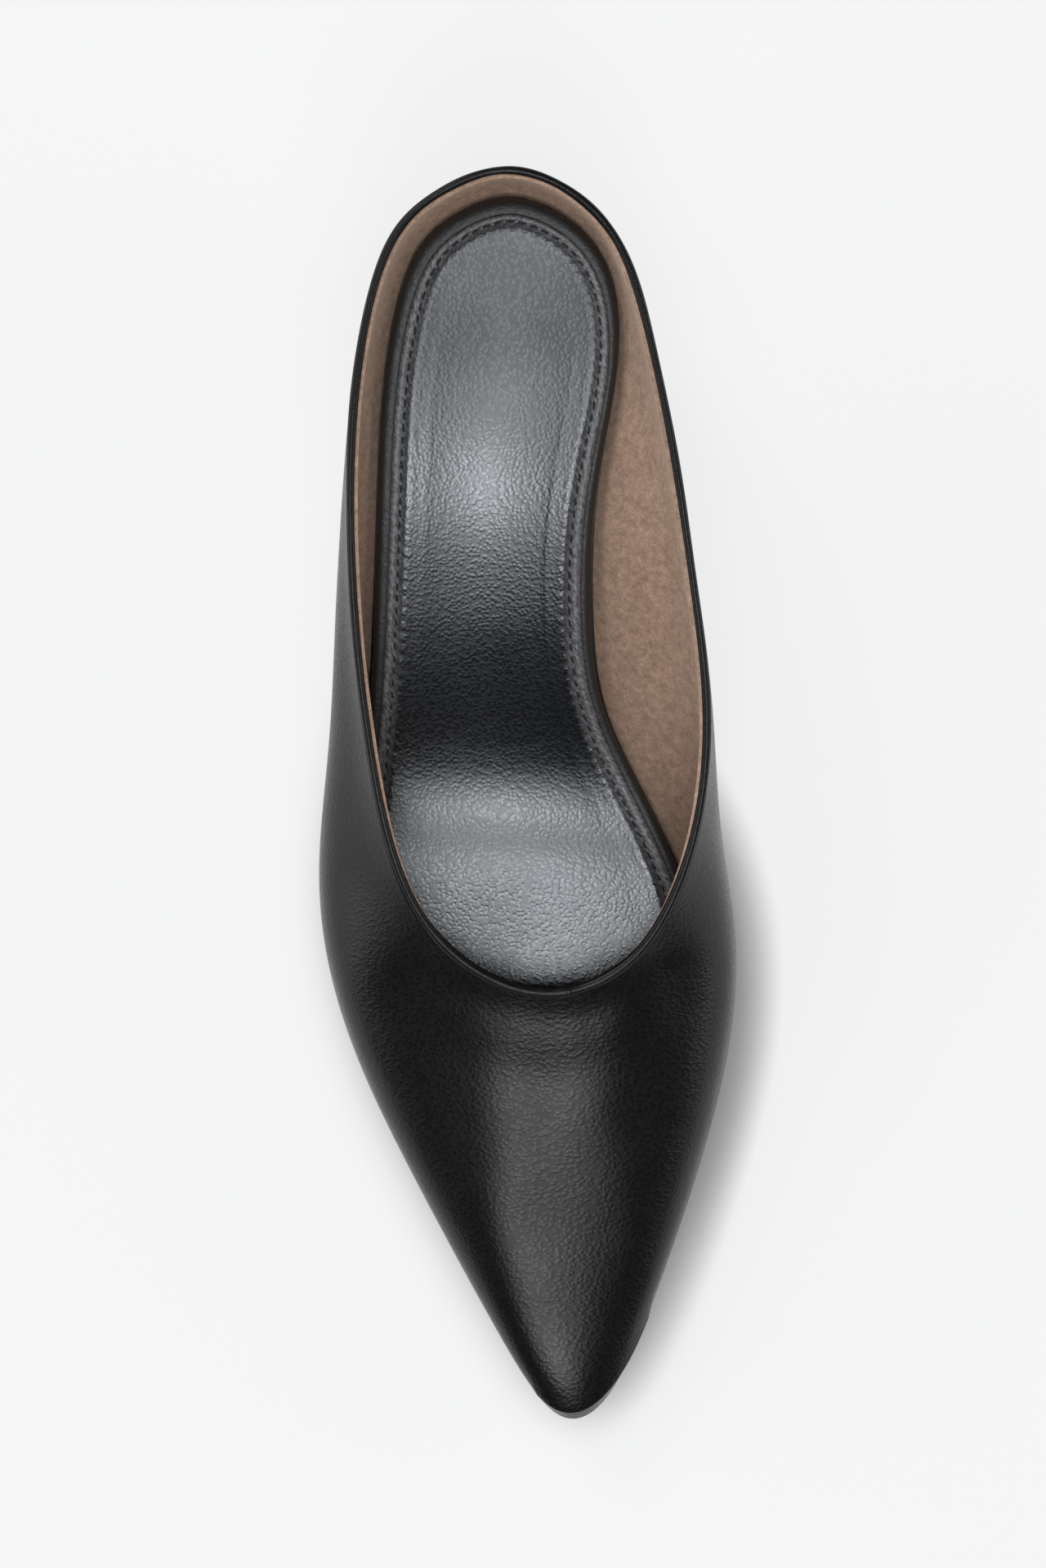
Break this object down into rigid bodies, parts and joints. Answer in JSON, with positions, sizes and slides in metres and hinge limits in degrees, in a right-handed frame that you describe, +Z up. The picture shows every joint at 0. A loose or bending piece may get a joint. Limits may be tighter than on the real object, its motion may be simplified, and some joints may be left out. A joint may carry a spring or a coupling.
{
  "type": "mule shoe",
  "caption": "Pointed leather mule with a low closed back, suede lining, padded stitched sock and a slim mid-height heel, for the right foot.",
  "frame": {"origin": "middle of the shoe's footprint, on the floor it stands on", "axes": "+Z up, -Y towards the toe, +X towards the big-toe side"},
  "size_m": [0.0854, 0.2512, 0.061],
  "materials": {
    "upper_leather": "fine-grained black nappa, soft sheen",
    "lining_suede": "taupe suede, matt",
    "sock_leather": "fine-grained black leather, satin to glossy",
    "insole_board": "fibre board, matt",
    "sole_leather": "black, smooth, satin",
    "heel_cover": "leather-covered, soft sheen",
    "top_lift_rubber": "matt"
  },
  "bodies": {
    "root": {"upper": "upper_leather", "insole": "insole_board", "sock": "sock_leather", "outsole": "sole_leather", "heel": "heel_cover", "top_lift": "top_lift_rubber"}
  },
  "joints": []
}
